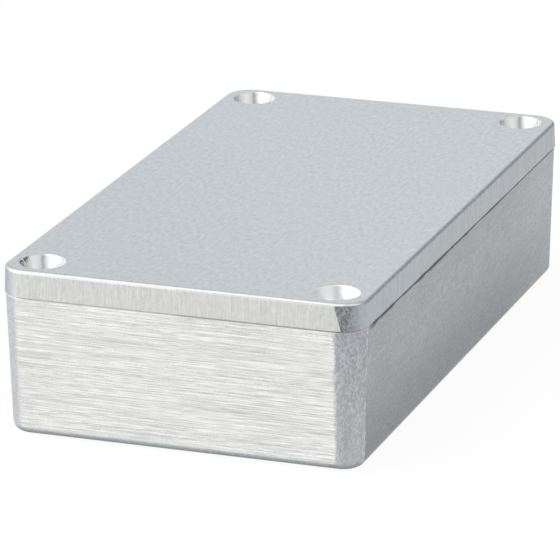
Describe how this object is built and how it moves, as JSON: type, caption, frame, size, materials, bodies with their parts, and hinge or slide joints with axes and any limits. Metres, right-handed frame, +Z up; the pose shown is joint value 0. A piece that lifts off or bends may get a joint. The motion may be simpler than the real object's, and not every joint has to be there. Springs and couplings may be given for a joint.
{
  "type": "die cast aluminium box",
  "caption": "Shallow rectangular cast enclosure with drafted walls, and a flat lid held by countersunk screws in deep corner recesses.",
  "frame": {"origin": "middle of the underside of the base", "axes": "+X across the short ends, +Y along the long sides, +Z up through the lid"},
  "size_m": [0.0644, 0.1154, 0.0293],
  "materials": {
    "base_casting": "cast, linished on the ends",
    "lid_casting": "cast, satin top, linished edges",
    "screw_steel": "zinc plated"
  },
  "bodies": {
    "root": {"base": "base_casting", "lid": "lid_casting", "screw_front_left": "screw_steel", "screw_front_right": "screw_steel", "screw_back_left": "screw_steel", "screw_back_right": "screw_steel"}
  },
  "joints": []
}
